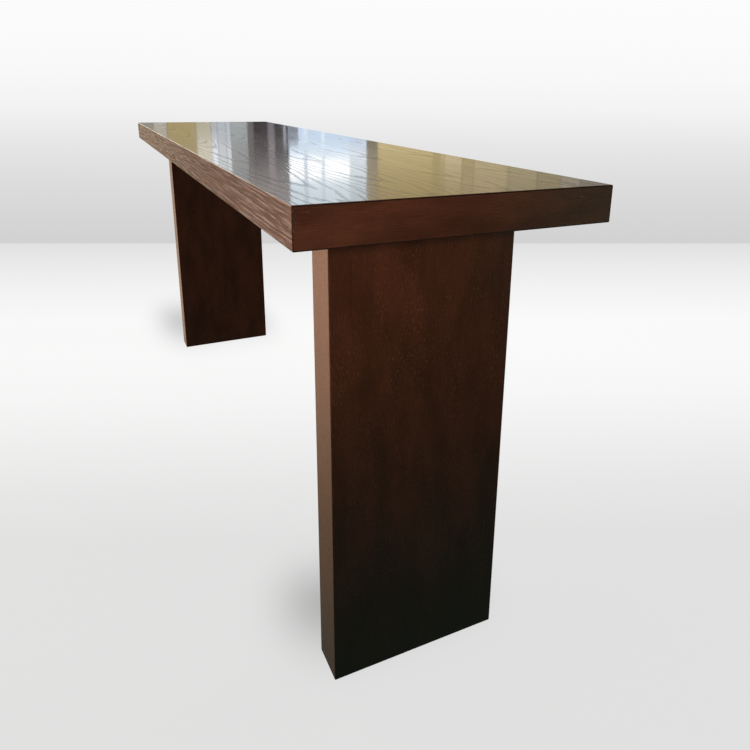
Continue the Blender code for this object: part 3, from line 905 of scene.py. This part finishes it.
    def build_world(self) -> None:
        """Lights the scene from the flats and from a dim room, and shows the camera a pale one."""
        world = bpy.data.worlds.new("studio")
        world.use_nodes = True
        bpy.context.scene.world = world
        sketch = Sketch(world.node_tree)
        x, y, z = sketch.parts(sketch.node("TexCoord", {}).outputs["Generated"])
        azimuth = sketch.math("DEGREES", sketch.math("ARCTAN2", sketch.times(x, -1.0), y))
        elevation = sketch.math("DEGREES", sketch.math("ARCSINE", z))
        seen = sketch.ramp(elevation, [(-40.0, self.floor_glow), (-12.0, self.room_glow), (30.0, self.ceiling_glow)])
        for flat in self.flats():
            sides = sketch.times(
                sketch.ease(azimuth, flat.start - flat.soft, flat.start + flat.soft),
                sketch.ease(azimuth, flat.end - flat.soft, flat.end + flat.soft, 1.0, 0.0),
            )
            ends = sketch.times(
                sketch.ease(elevation, flat.low - flat.soft_height, flat.low + flat.soft_height),
                sketch.ease(elevation, flat.high - flat.soft_height, flat.high + flat.soft_height, 1.0, 0.0),
            )
            face = sketch.ramp(elevation, zip(flat.heights, (flat.foot, flat.waist, flat.head)))
            seen = sketch.mix(sketch.times(sides, ends), seen, face)
        lit = sketch.node("Background", {"Color": seen, "Strength": 1.0})
        pale = sketch.node("Background", {"Color": (0.80, 0.80, 0.80), "Strength": 1.0})
        direct = sketch.node("LightPath", {}).outputs["Is Camera Ray"]
        both = sketch.node("MixShader", {0: direct, 1: lit.outputs[0], 2: pale.outputs[0]})
        sketch.node("OutputWorld", {"Surface": both.outputs[0]})

    def level(self, azimuth: float) -> Vector:
        """The level direction of an azimuth in degrees."""
        turn = math.radians(azimuth)
        return Vector((-math.sin(turn), math.cos(turn), 0.0))

    def backdrop(
        self,
        name: str,
        centre: Vector,
        across: Vector,
        up: Vector,
        stops: list[tuple[float, float]],
        reflects: float = 0.0,
        shades: tuple[SoftShade, ...] = (),
    ) -> bpy.types.Object:
        """A plain sheet that glows softly in bands parallel to the wall.

        Args:
            name: Its name.
            centre: The middle of the edge where the wall meets the floor.
            across: Half of that edge.
            up: From that edge to the far one.
            stops: Distance from the edge and brightness there, in order.
            reflects: The share of the light falling on it that it sends back.
            shades: The soft shadows that lie on it.

        Returns:
            The sheet, which only camera rays see.
        """
        mesh = bpy.data.meshes.new(name)
        corners = [centre - across, centre + across, centre + across + up, centre - across + up]
        mesh.from_pydata(corners, [], [(0, 1, 2, 3)])
        obj = bpy.data.objects.new(name, mesh)
        bpy.context.scene.collection.objects.link(obj)
        material, sketch = new_material(name)
        offset = sketch.node("VectorMath", {0: sketch.position(), 1: centre}, operation="SUBTRACT")
        unit = up.normalized()
        reach = sketch.node("VectorMath", {0: offset.outputs[0], 1: unit}, operation="DOT_PRODUCT")
        tones = [(place, (level,) * 3) for place, level in stops]
        level = sketch.ramp(reach.outputs["Value"], tones)
        strength = sketch.times(1.0, *[shade.left(sketch) for shade in shades])
        glow = sketch.node("Emission", {"Color": level, "Strength": strength})
        matt = sketch.node("BsdfDiffuse", {"Color": (reflects,) * 3})
        both = sketch.node("AddShader", {0: glow.outputs[0], 1: matt.outputs[0]})
        sketch.node("OutputMaterial", {"Surface": both.outputs[0]})
        mesh.materials.append(material)
        for rays in ("diffuse", "glossy", "transmission", "shadow"):
            setattr(obj, f"visible_{rays}", False)
        return obj

    def build_backdrops(self) -> None:
        """The floor and the wall behind it."""
        square = self.level(self.wall_azimuth)
        edge = Vector((self.eye.x, self.eye.y, 0.0)) + square * self.wall_distance
        across = square.cross(Z) * 20.0
        floor = [(0.0, 0.740), (0.3, 0.775), (1.2, 0.87), (1.87, 0.932), (2.4, 0.925), (2.78, 0.90)]
        floor += [(3.05, 0.855), (3.3, 0.805), (3.5, 0.762), (3.68, 0.732)]
        wall = [(0.0, 0.640), (0.24, 0.672), (0.53, 0.725), (0.81, 0.795), (1.08, 0.89), (1.35, 0.940), (1.9, 0.975)]
        shades = (SoftShade(0.86, 0.145, 0.33, 0.25, 0.39), SoftShade(-1.37, 0.165, 0.78, 0.27, 0.36))
        self.backdrop("floor", edge, across, -square * 24.0, floor, 0.08, shades)
        self.backdrop("wall", edge, across, Z * 6.0, wall)

    def add_softbox(self, name: str, place: Vector, target: Vector, size: tuple[float, float], power: float, colour: Colour, spread: float) -> None:
        """An area light that the camera doesn't see.

        Args:
            name: Its name.
            place: Where it hangs.
            target: What it points at.
            size: Width and height.
            power: In watts.
            colour: Of its light.
            spread: Its beam, in degrees.
        """
        data = bpy.data.lights.new(name, "AREA")
        data.shape = "RECTANGLE"
        data.size, data.size_y = size
        data.energy = power
        data.color = colour
        data.spread = math.radians(spread)
        obj = bpy.data.objects.new(name, data)
        obj.location = place
        obj.rotation_euler = (target - place).to_track_quat("-Z", "Y").to_euler()
        obj.visible_camera = False
        bpy.context.scene.collection.objects.link(obj)

    def build_lights(self) -> None:
        """A warm key from the front, a dim one on the right end, and soft ones above and behind."""
        warm = (1.0, 0.82, 0.68)
        self.add_softbox("key", Vector((0.2, -2.6, 1.7)), Vector((0.6, -0.2, 0.9)), (1.6, 1.1), 12.0, warm, 120.0)
        self.add_softbox("end_light", Vector((2.75, -0.85, 1.42)), Vector((1.08, -0.15, 0.98)), (0.5, 0.3), 1.35, warm, 44.0)
        self.add_softbox("overhead", Vector((0.0, 0.2, 2.9)), Vector((0.0, 0.0, 1.0)), (2.2, 1.0), 2.8, (1.0, 0.97, 0.93), 140.0)
        self.add_softbox("rear", Vector((0.9, 3.0, 1.9)), Vector((0.2, 0.2, 0.8)), (1.6, 1.2), 12.0, (0.92, 0.96, 1.0), 120.0)

    def build_camera(self) -> None:
        """The camera, at chest height off the right end of the table."""
        turn, tip, lean = (math.radians(a) for a in (self.azimuth, self.pitch, self.roll))
        forward = self.level(self.azimuth) * math.cos(tip) + Z * math.sin(tip)
        level = Vector((math.cos(turn), math.sin(turn), 0.0))
        above = level.cross(forward)
        right = level * math.cos(lean) + above * math.sin(lean)
        data = bpy.data.cameras.new("camera")
        data.lens = self.lens
        data.sensor_width = 36.0
        data.shift_x, data.shift_y = self.shift
        data.clip_start, data.clip_end = 0.01, 60.0
        obj = bpy.data.objects.new("camera", data)
        axes = Matrix((right, right.cross(forward), -forward)).transposed()
        obj.matrix_world = Matrix.Translation(self.eye) @ axes.to_4x4()
        bpy.context.scene.collection.objects.link(obj)
        bpy.context.scene.camera = obj

    def build(self) -> None:
        """Sets up the whole studio."""
        self.build_camera()
        self.build_world()
        self.build_backdrops()
        self.build_lights()
        bpy.context.scene.view_settings.view_transform = "Standard"


def main() -> None:
    """Builds and dresses the table in the studio."""
    logging.basicConfig(level=logging.INFO, format="%(name)s: %(message)s")
    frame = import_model()
    Studio().build()
    veneers = {name: finish.make() for name, finish in default_logs().items()}
    nylon = Nylon("moulded_nylon").make()
    steel = Metal("nail_steel", (0.55, 0.56, 0.58), (0.36, 0.36, 0.37)).make()
    pieces = TableTop(veneers).build()
    for side, outward in (("left", -X), ("right", X)):
        pieces += SlabLeg(side, outward, veneers["leg"], nylon, steel).build()
    for piece in pieces:
        log.info("made %s, %d faces", piece.name, len(piece.data.polygons))
    replaced = {node for piece in pieces for node in piece["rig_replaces"]}
    log.info("dressed %d pieces of the frame", InnerWork(frame, replaced).dress())


if __name__ == "__main__":
    main()
